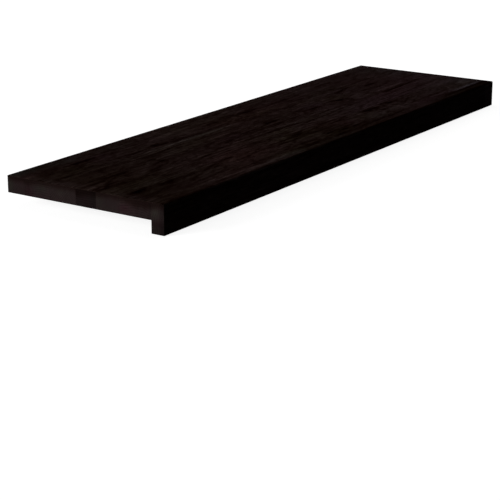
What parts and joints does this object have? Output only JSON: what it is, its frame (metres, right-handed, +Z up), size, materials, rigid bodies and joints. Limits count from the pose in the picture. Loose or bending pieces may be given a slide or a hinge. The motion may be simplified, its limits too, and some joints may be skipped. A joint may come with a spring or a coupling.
{
  "type": "stair tread",
  "caption": "L-shaped stair tread of edge-glued dark-stained wood: a flat panel with a full-height nosing strip glued along its front edge.",
  "frame": {"origin": "under the middle of the tread's footprint, level with the foot of the nosing", "axes": "+Z up, +X along the tread's length, -Y to the front, where the nosing is"},
  "size_m": [0.9, 0.25, 0.04],
  "materials": {
    "panel_wood": "dark stain, matt oil",
    "nosing_wood": "dark stain, matt oil"
  },
  "bodies": {
    "root": {"back_stave": "panel_wood", "stave_2": "panel_wood", "stave_3": "panel_wood", "stave_4": "panel_wood", "stave_5": "panel_wood", "front_stave": "panel_wood", "nosing_strip": "nosing_wood"}
  },
  "joints": []
}
